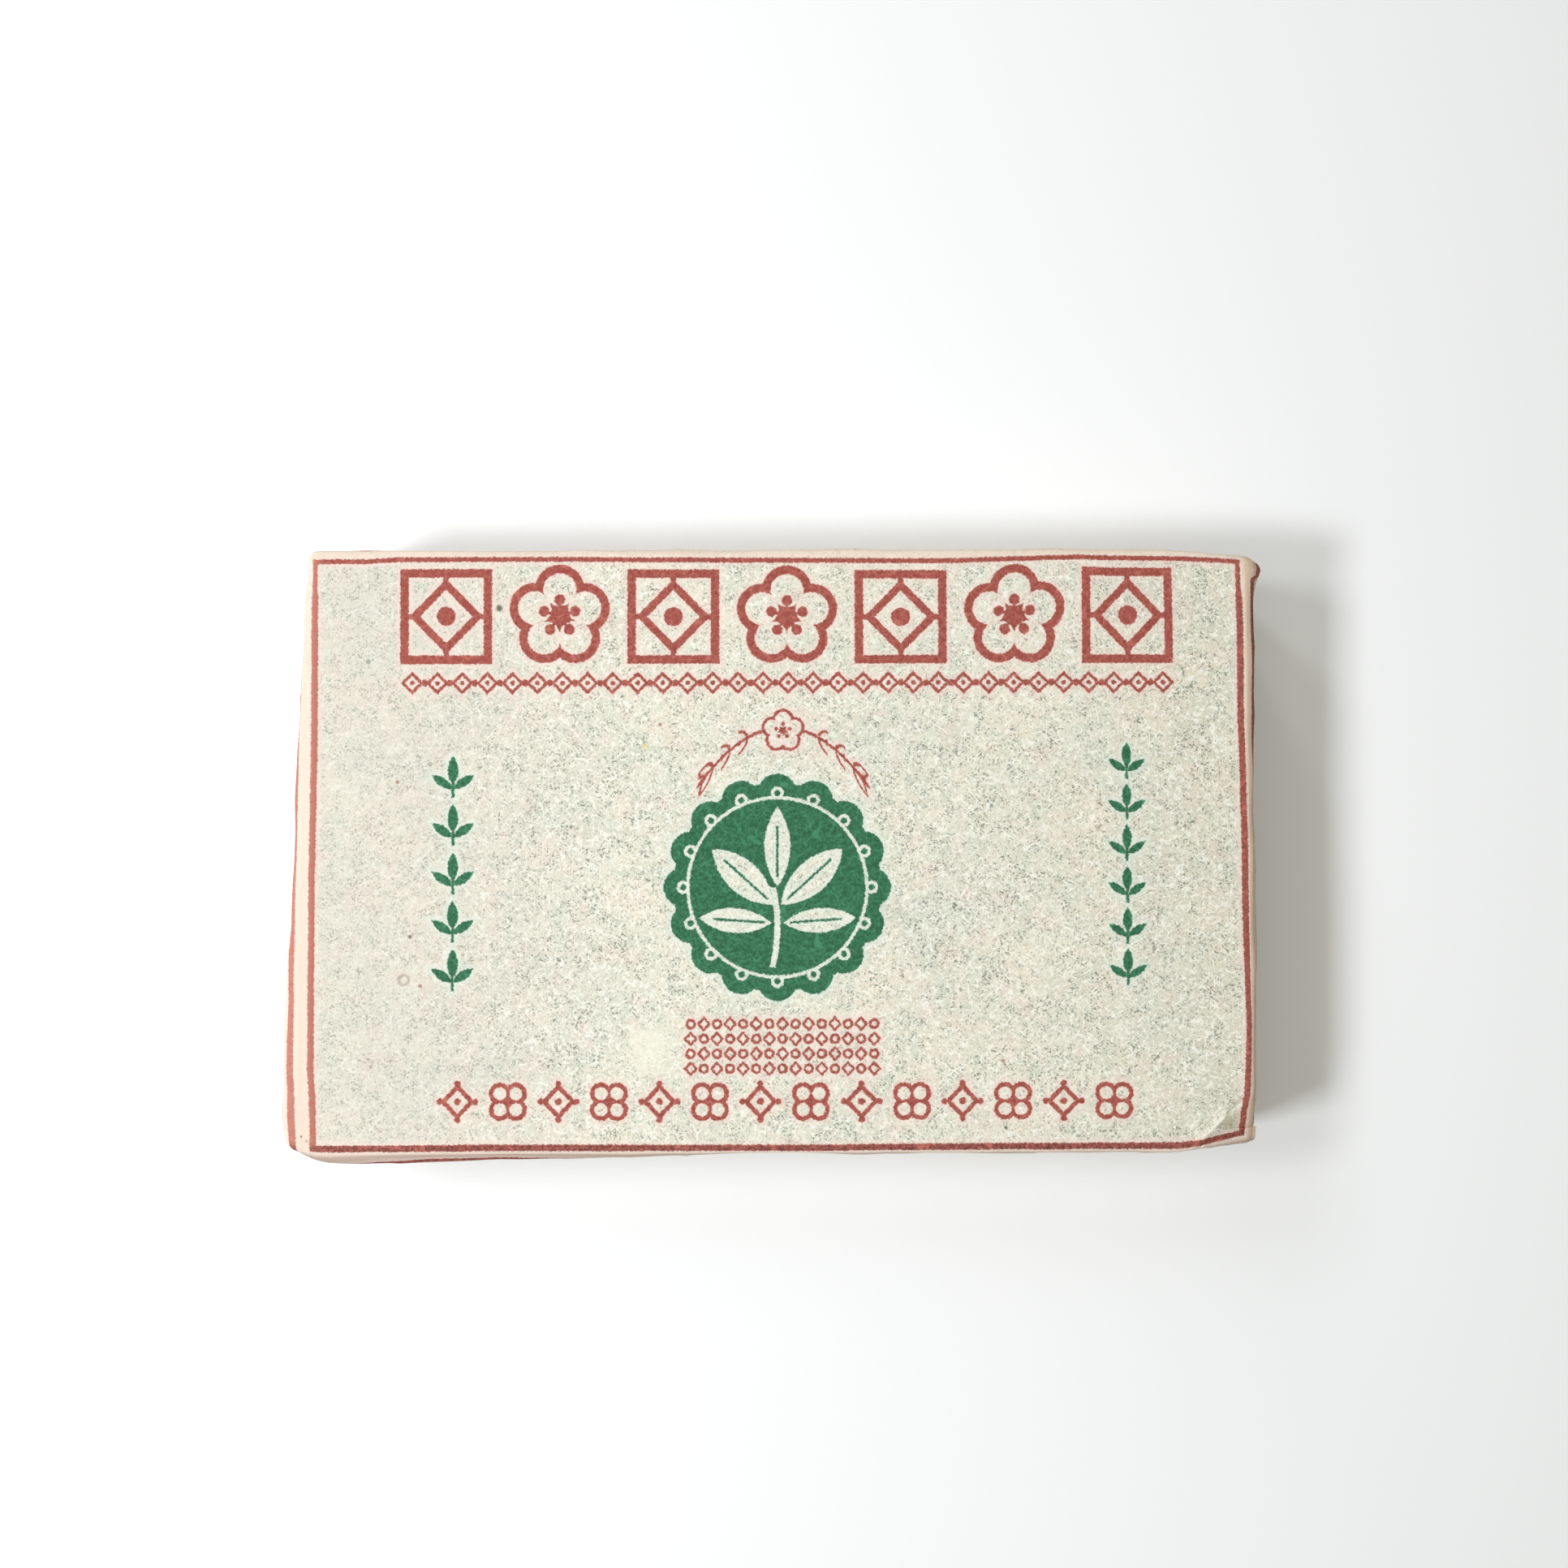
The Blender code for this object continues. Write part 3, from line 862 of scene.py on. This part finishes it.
# Colour of each painted shade, which darkens the paper towards the left and the right end, from where to
# where along s it comes in, in mm, and its strength
PAINTED_SHADE_TINTS = [(PAINTED_SHADE_LEFT, (-22.0, -48.0), 0.44), (PAINTED_SHADE_RIGHT, (40.0, 66.0), 0.22)]
CALM_LEFT = (-30.0, -58.0)
# Size, half width and shift of each kind of thread, in mm
FINE_THREADS = [(1.5, 0.030, 3.0), (1.1, 0.035, 19.0), (0.8, 0.045, 43.0)]
LONG_THREADS = [(2.6, 0.014, 5.0), (1.8, 0.020, 57.0)]


def plain_paper(sheet, body, s):
    """Colour of the unprinted paper with painted shade towards both ends, its threads and its grains, which
    are fewer at the left.
    """
    tone = PAPER_COOL
    for colour, size, shift, middle, strength in CLOUDS:
        tone = mixed(tone, colour, steepened(cloud(body, size, 2.0, shift), middle, 4.0) * strength)
    for colour, span, strength in PAINTED_SHADE_TINTS:
        tone = mixed(tone, colour, rising(s, *span) * strength)
    calm = rising(s, *CALM_LEFT)
    cluster = steepened(cloud(body, 1.9, 2.0, 130.0), 0.50, 4.5) * 0.75 + 0.25
    cluster = cluster * (calm * -0.32 + 1.0)
    grain = steepened(cloud(sheet, 0.28, 1.0, 7.0), 0.58, 9.0)
    shade = steepened(cloud(body, 0.75, 3.0, 170.0), 0.55, 4.0)
    fine_threads = farthest(*(threads(sheet, *kind) for kind in FINE_THREADS))
    tone = mixed(tone, PAPER_SHADE, shade * cluster * 0.55)
    tone = mixed(tone, GRAIN_DARK, grain * cluster * 0.85)
    tone = mixed(tone, THREAD, fine_threads * (calm * -0.42 + 0.75))
    return tone, fine_threads, grain


def marked(tone, s, t):
    """Small spots, one pale patch, painted shade in corner gaps and on a dent, a painted highlight and
    painted shade along a crease at a corner, and a stain's ring, all with soft edges.
    """
    for colour, strength, places in MARKS:
        for mark_s, mark_t, radius in places:
            inside = covered(disc(s - mark_s, t - mark_t, radius), radius * 0.45)
            tone = mixed(tone, screen(*colour), inside * strength)
    for colour, strength, (mark_s, mark_t, half_long, half_wide, degrees) in CREASE_HIGHLIGHT_AND_SHADE:
        x, y = turned(s - mark_s, t - mark_t, degrees)
        inside = covered(oblong(x, y, half_long, half_wide), 0.18)
        tone = mixed(tone, screen(*colour), inside * strength)
    mark_s, mark_t, radius = STAIN_RING
    ring = covered(outline(disc(s - mark_s, t - mark_t, radius), 0.35), 0.2)
    return mixed(tone, STAIN_BROWN, ring * 0.45)


def inked(tone, distance, sheet, halo, deep, worn, over_ink):
    """Lay a halo round the print, then ink with a ragged edge, worn where threads cross it."""
    tone = mixed(tone, halo, covered(distance - 0.45, 0.5) * 0.7)
    ragged = distance + (cloud(sheet, 0.35, 2.0, 61.0) - 0.5) * 0.55
    wear = steepened(cloud(sheet, 0.55, 2.0, 73.0), 0.54, 2.6) * 0.6 + over_ink * 0.75
    return mixed(tone, mixed(deep, worn, wear.clamped()), covered(ragged, 0.09) * 0.97)


# %% The printed cotton paper
# How far outside the front panel the folds' own tone starts and is full, and where it fades out
FOLD_STARTS, FOLD_FADES = (0.1, 1.1), (9.5, 4.5)


def folded_tone(tone, s, t):
    """Warmer paper on the folds, and painted shade in a tone of its own on the left, right and near ones."""
    beyond = oblong(s, t, FRAME_S, FRAME_T)
    folded = rising(beyond, *FOLD_STARTS) * rising(beyond, *FOLD_FADES)
    tone = mixed(tone, FOLD_WARM, folded * 0.75)
    # painted shade on the left, right and near folds
    tone = mixed(tone, FOLD_PAINTED_SHADE_LEFT, folded * rising(s, -73.0, -75.0) * 0.6)
    tone = mixed(tone, FOLD_PAINTED_SHADE_RIGHT, folded * rising(s, 72.4, 73.4) * 0.5)
    return mixed(tone, FOLD_PAINTED_SHADE_NEAR, folded * rising(t, -46.2, -47.2) * 0.75)


def red_ink(s, t):
    """Deep red, with painted light on the left edge, and painted shade that makes it browner on the right
    edge and darker on the near one.
    """
    # painted light on the left edge's red, painted shade on the right and near edges' red
    red = mixed(RED_DEEP, RED_PAINTED_LIGHT_LEFT, rising(s, -70.6, -72.6) * 0.85)
    red = mixed(red, RED_PAINTED_SHADE_RIGHT, ((s - 71.0) * 0.3).clamped() * 0.9)
    return mixed(red, RED_PAINTED_SHADE_NEAR, rising(t, -44.6, -45.6) * rising(t, -53.0, -48.0) * 0.8)


def new_material(name):
    """A material with nodes, and its shader."""
    material = bpy.data.materials.new(name)
    material.use_nodes = True
    return material, material.node_tree.nodes["Principled BSDF"]


def printed_paper():
    """Thin matt paper, with its colour on s and t and its fine relief from threads and grains."""
    material, shader = new_material("printed_cotton_paper")
    tree = material.node_tree
    sheet_map = tree.nodes.new("ShaderNodeUVMap")
    sheet_map.uv_map = "paper"
    sheet = Field(tree, sheet_map.outputs[0])
    parts = sheet.node("ShaderNodeSeparateXYZ", {0: sheet})
    s, t = Field(tree, parts.outputs[0]), Field(tree, parts.outputs[1])
    place = Field(tree, tree.nodes.new("ShaderNodeTexCoord").outputs["Object"])
    scaled = place.node("ShaderNodeVectorMath", {0: place, 3: 1.0 / MM}, operation="SCALE")
    body = Field(tree, scaled.outputs[0])

    tone, fine_threads, grain = plain_paper(sheet, body, s)
    tone = marked(folded_tone(tone, s, t), s, t)
    long_threads = farthest(*(threads(sheet, *kind) for kind in LONG_THREADS))
    over_ink = farthest(long_threads, fine_threads * 0.5)
    tone = inked(tone, red_print(s, t), sheet, RED_HALO, red_ink(s, t), RED_WORN, over_ink)
    tone = inked(tone, green_print(s, t), sheet, GREEN_HALO, GREEN_DEEP, GREEN_WORN, over_ink)
    tree.links.new(tone.socket, shader.inputs["Base Color"])

    relief = fine_threads * 0.6 + long_threads * 0.5 + cloud(body, 0.9, 3.0, 11.0) * 1.5 - grain * 0.25
    bump = relief.node("ShaderNodeBump", {"Height": relief, "Strength": 0.35, "Distance": 0.06 * MM})
    tree.links.new(bump.outputs[0], shader.inputs["Normal"])
    dull = cloud(sheet, 1.3, 2.0, 23.0) * 0.16 + 0.78
    tree.links.new(dull.socket, shader.inputs["Roughness"])
    shader.inputs["Specular IOR Level"].default_value = 0.25
    return material


PAPER = printed_paper()
print("nodes in the paper:", len(PAPER.node_tree.nodes))

# %% [markdown]
# ## The wrapper
#
# All six sides of the lattice share the vertices of their common edges, so the sheet is one
# closed surface with no seam to open. It stands for the solid brick, because the shut pack
# shows nothing of the tea itself.

# %% Build the wrapper
def wrapper():
    """Six grids over one set of shared points."""
    keys = {}
    for side in SIDES:
        i, j, k = side_indices(side)
        keys[side] = (i * COUNTS[1] + j) * COUNTS[2] + k
    shared, numbers = np.unique(np.concatenate([key.ravel() for key in keys.values()]), return_inverse=True)
    i, rest = np.divmod(shared, COUNTS[1] * COUNTS[2])
    j, k = np.divmod(rest, COUNTS[2])
    points = in_place(dressed_form(np.stack([LINES[0][i], LINES[1][j], LINES[2][k]], axis=1)))

    quads, print_places, bake_places, grids = [], [], [], {}
    all_places = paper_places()
    taken = 0
    for side in SIDES:
        s, t = all_places[side]
        count = keys[side].size
        own = numbers[taken:taken + count].reshape(keys[side].shape)
        taken += count
        axis, sign = SIDES[side]
        turned_over = (sign > 0) == (axis == 1)
        places = np.stack([s, t], axis=2)
        quads.append(grid_quads(own, turned_over))
        print_places.append(grid_values(np.stack(wandering(s, t), axis=2), turned_over))
        bake_places.append(grid_values(fit_into(ATLAS[side], places), turned_over))
        grids[side] = np.concatenate([points[own], places], axis=2)
    layers = np.concatenate(print_places), np.concatenate(bake_places)
    paper_piece("paper_wrapper", points, np.concatenate(quads), *layers, PAPER)
    return grids


WRAPPER = wrapper()

# %% [markdown]
# ## Folded ends
#
# Each end is closed like a gift: the sides are tucked in first, a flap comes down from the front
# and a last one comes up from the back. The flaps could be raised in the wrapper's own mesh, but
# paper ends in a thin cut edge that stands off a little, so each flap is a thin closed sheet
# laid over the wrapper's end. Its sides taper at 45 degrees, because a fold there takes away as
# much width as the flap is deep.

# %% Read the wrapper between its lattice points
def between(grid, first, second):
    """Grid values at fractional rows and columns, in proportion between the four around each."""
    i = np.minimum(first.astype(int), grid.shape[0] - 2)
    j = np.minimum(second.astype(int), grid.shape[1] - 2)
    part_i, part_j = (first - i)[:, :, None], (second - j)[:, :, None]
    low = blend(grid[i, j], grid[i, j + 1], part_j)
    high = blend(grid[i + 1, j], grid[i + 1, j + 1], part_j)
    return blend(low, high, part_i)


def lattice_rows(values, axis):
    """Fractional index of lattice coordinates along one axis."""
    return np.interp(values, LINES[axis], np.arange(COUNTS[axis]))


def closed_sheet(outer, inner):
    """Points and quads of a thin sheet: two grids and a rim between their edges."""
    rows, columns = outer.shape[:2]
    numbers = np.arange(rows * columns).reshape(rows, columns)
    rim = np.concatenate([numbers[:-1, 0], numbers[-1, :-1], numbers[:0:-1, -1], numbers[0, :0:-1]])
    after = np.roll(rim, -1)
    under = rows * columns
    sides = np.stack([rim, rim + under, after + under, after], axis=1)
    quads = np.concatenate([grid_quads(numbers, False), grid_quads(numbers + under, True), sides])
    return np.concatenate([outer.reshape(-1, 3), inner.reshape(-1, 3)]), quads


# Where a thin sheet's two faces start on its baking map, and how much of it each one takes
FACE_STARTS, FACE_SHARE = (0.0, 0.52), 0.48


def thin_sheet(name, outer, inner, places, turned_over, shift=(0.0, 0.0)):
    """A closed sheet with the wrapper's print at these places, moved by a shift, on both faces."""
    points, quads = closed_sheet(outer, inner)
    if turned_over:
        quads = quads[:, ::-1]
    printed = np.stack(wandering(places[:, :, 0], places[:, :, 1]), axis=2).reshape(-1, 2) + shift
    printed = np.concatenate([printed, printed])
    rows, columns = outer.shape[:2]
    first, second = np.linspace(0.0, 1.0, rows), np.linspace(0.0, FACE_SHARE, columns)
    faces = [np.meshgrid(first, start + second, indexing="ij") for start in FACE_STARTS]
    share = np.concatenate([np.stack(face, axis=2).reshape(-1, 2) for face in faces])
    paper_piece(name, points, quads, printed[quads], share[quads], PAPER)


# %% The four flaps
FLAP_ROWS, FLAP_COLUMNS = 72, 26
PAPER_THICK = 0.14 * MM
ROOT_SINKS = 0.05 * MM
FLAP_ROOT = 1.0 + 0.5 * EDGE_ZONE
FLAP_EASE = 8.0 * MM
FLAP_INSET = 1.2 * MM
# From where, as a share of the half width, a flap's sides are folded down, and over how much
SIDE_FOLD, SIDE_FOLD_SPAN = 0.98, 0.02
FREE_EDGE_FROM = 0.72
EDGE_LIFT, EDGE_WAVE, EDGE_WAVE_SIZE = 0.25 * MM, 0.35 * MM, 8.0 * MM
RIPPLE, RIPPLE_SIZE = 0.10 * MM, 3.5 * MM
BACK_FLAP_SHIFT = (0.7, 1.1)
# Fold, height of the free edge, stand-off and seeds at the right and left end
FLAPS = {
    "front_flap": (1.0, 5.0 * MM, 0.34 * MM, (51, 52)),
    "back_flap": (-1.0, 17.5 * MM, 0.74 * MM, (53, 54)),
}


def flap(name, side, fold, free_edge, stand_off, seed):
    """Sheet over one end, from the fold at the front (1) or back (-1) to its free edge.

    Across, a runs from -1 to 1; at depth d below the fold the half width is the panel's less d.
    The stand-off grows from below the surface at the fold to its full value, sinks again at the
    two tapered sides, which are folds, and rises in waves at the cut edge.
    """
    across = np.sin(np.linspace(-1.0, 1.0, FLAP_ROWS) * np.pi / 2.0)
    down = np.linspace(0.0, 1.0, FLAP_COLUMNS)
    height_of = (free_edge - ROUND_BACK) / (THICKNESS - ROUND_RIGHT - ROUND_BACK) * 2.0 - 1.0
    w = blend(fold * FLAP_ROOT, height_of, down)
    fold_height = THICKNESS if fold > 0.0 else 0.0
    z = ROUND_BACK + (np.clip(w, -1.0, 1.0) + 1.0) / 2.0 * (THICKNESS - ROUND_RIGHT - ROUND_BACK)
    depth = np.abs(fold_height - z)
    half = (PANEL_NEAR_RIGHT - FLAP_INSET - depth) / PANEL_FAR
    v = across[:, None] * half[None, :]
    rows, columns = lattice_rows(v, 1), lattice_rows(np.broadcast_to(w, v.shape), 2)
    grid = between(WRAPPER[side], rows, columns)
    sign = SIDES[side][1]
    if sign < 0:
        grid = grid[::-1]
        across = across[::-1]
    base, places = grid[:, :, :3], grid[:, :, 3:]
    to_side = np.clip(1.0 - (np.abs(across) - SIDE_FOLD) / SIDE_FOLD_SPAN, 0.0, 1.0)[:, None] ** 0.5
    risen = ease(depth, 0.0, FLAP_EASE)[None, :]
    waves = lumps(base.reshape(-1, 3), EDGE_WAVE_SIZE, seed).reshape(v.shape)
    lift = (EDGE_LIFT + EDGE_WAVE * waves) * ease(down, FREE_EDGE_FROM, 1.0)[None, :]
    ripple = RIPPLE * lumps(base.reshape(-1, 3), RIPPLE_SIZE, seed + 20).reshape(v.shape)
    away = blend(-ROOT_SINKS, (stand_off + ripple + lift) * to_side, risen)
    outer = base.copy()
    outer[:, :, 0] += sign * away
    inner = outer.copy()
    inner[:, :, 0] -= sign * PAPER_THICK
    shift = (0.0, 0.0) if fold > 0.0 else (BACK_FLAP_SHIFT[0] * sign, BACK_FLAP_SHIFT[1])
    thin_sheet(name, outer, inner, places, fold > 0.0, shift)


for flap_name, (*settings, seeds) in FLAPS.items():
    for end_name, flap_seed in zip(("right", "left"), seeds):
        flap(flap_name + "_" + end_name, end_name, *settings, flap_seed)

# %% [markdown]
# The near right corner is pushed in, and there the near wall's paper laps over the front. This lap
# could be a ridge in the wrapper too, but it ends in a straight free edge, so it is one more thin
# sheet: it starts on the front, bends over the near fold and sinks into the wall.

# %% The lap at the near right corner
LAP_EDGE = ([0.906, 0.932, 1.0], [-0.976, -0.948, -0.956])
LAP_ROWS, LAP_OVER, LAP_DOWN = 48, 26, 14
LAP_STANDS = 0.28 * MM
LAP_TIP = 0.30 * MM
LAP_SINKS_AT = 0.4


def corner_lap():
    """Wrapper's surface from the free edge to half way down the wall, moved out along its normal.

    The normal is the cross product of the steps along both ways of the grid.
    """
    u = np.linspace(LAP_EDGE[0][0], 1.0 + EDGE_ZONE, LAP_ROWS)[:, None]
    over = np.linspace(0.0, 1.0, LAP_OVER)[None, :]
    down = np.linspace(1.0 + EDGE_ZONE, LAP_SINKS_AT, LAP_DOWN)[None, 1:]
    v = blend(np.interp(u, *LAP_EDGE), -1.0 - EDGE_ZONE, over)
    w = down + 0.0 * u
    front = between(WRAPPER["front"], lattice_rows(u + 0.0 * v, 0), lattice_rows(v, 1))
    near = between(WRAPPER["near"], lattice_rows(u + 0.0 * w, 0), lattice_rows(w, 2))
    grid = np.concatenate([front, near], axis=1)
    base, places = grid[:, :, :3], grid[:, :, 3:]
    normal = np.cross(np.gradient(base, axis=1), np.gradient(base, axis=0))
    normal /= np.linalg.norm(normal, axis=2, keepdims=True)
    along = np.linspace(0.0, 1.0, LAP_ROWS)[:, None]
    sinking = np.concatenate([0.0 * over[0], np.linspace(0.0, 1.0, LAP_DOWN)[1:]])[None, :]
    stands = blend(LAP_STANDS * ease(along, 0.0, 0.3), -ROOT_SINKS, ease(sinking, 0.0, 1.0))
    outer = base + normal * stands[:, :, None]
    outer[:, :, 0] += LAP_TIP * ease(along, 0.85, 1.0)
    thin_sheet("corner_lap", outer, outer - normal * PAPER_THICK, places, True)


corner_lap()

# %% [markdown]
# ## Stage, camera and light
#
# The camera looks down from nearly straight above, and a row of windows is on the left. A lamp
# stands for each, so the shadow on the right has several soft edges, and a wide ceiling light
# with a little sky fills it. One large lamp would be simpler, but its shadow would end too softly.

# %% Camera at the photograph's place
CAMERA_FROM_PANEL = np.array([0.838, 5.06, 255.22]) * MM
CAMERA_PITCH = 0.02179
CAMERA_YAW = -0.001519
LENS_MM = 37.73


def camera():
    """Just above the panel's middle, looking down and a little towards the far side."""
    data = bpy.data.cameras.new("camera")
    data.sensor_width = 36.0
    data.lens = LENS_MM
    data.clip_start = 0.01
    eye = new_object("camera", data)
    eye.location = CAMERA_FROM_PANEL + np.append(PANEL_MIDDLE, THICKNESS)
    eye.rotation_euler = (CAMERA_PITCH, 0.0, CAMERA_YAW)
    bpy.context.scene.camera = eye
    print("camera height in mm:", round(eye.location.z / MM, 1))


camera()


# %% White table
TABLE_HALF = 3.0
TABLE_WHITE = (0.965, 0.965, 0.965, 1.0)


def table():
    """A wide white sheet under the brick."""
    mesh = bpy.data.meshes.new("table")
    corners = np.array([(-1.0, -1.0, 0.0), (1.0, -1.0, 0.0), (1.0, 1.0, 0.0), (-1.0, 1.0, 0.0)])
    mesh.from_pydata(corners * TABLE_HALF, [], [(0, 1, 2, 3)])
    material, shader = new_material("white_table")
    shader.inputs["Base Color"].default_value = TABLE_WHITE
    shader.inputs["Roughness"].default_value = 0.7
    mesh.materials.append(material)
    floor = new_object("table", mesh)


table()

# %% Windows, ceiling and sky
WINDOW_TINT = (0.96, 1.0, 1.06)
CEILING_TINT = (1.0, 0.985, 0.89)
SKY_STRENGTH = 0.19
# Name, place and size in metres, power in watts, tint
LAMPS = [
    ("near_window", (-0.40, -0.13, 0.54), (0.13, 0.12), 2.25, WINDOW_TINT),
    ("middle_window", (-0.40, 0.10, 0.54), (0.13, 0.12), 1.0, WINDOW_TINT),
    ("far_window", (-0.40, 0.46, 0.54), (0.13, 0.25), 0.8, WINDOW_TINT),
    ("end_window", (-0.40, 1.0, 0.54), (0.13, 0.5), 1.3, WINDOW_TINT),
    ("ceiling", (0.0, 0.0, 1.0), (1.0, 1.0), 2.75, CEILING_TINT),
]


def lights():
    """Area lights that all face the brick, and an even sky."""
    for name, place, size, power, tint in LAMPS:
        data = bpy.data.lights.new(name, "AREA")
        data.shape = "RECTANGLE"
        data.size, data.size_y = size
        data.energy = power
        data.color = tint
        lamp = new_object(name, data)
        lamp.location = place
        lamp.rotation_euler = (-lamp.location).to_track_quat("-Z", "Y").to_euler()
    world = bpy.data.worlds.new("sky")
    world.use_nodes = True
    background = world.node_tree.nodes["Background"]
    background.inputs["Color"].default_value = (*CEILING_TINT, 1.0)
    background.inputs["Strength"].default_value = SKY_STRENGTH
    bpy.context.scene.world = world
    bpy.context.scene.view_settings.view_transform = "Standard"
    print(len(LAMPS), "lamps and a sky")


lights()
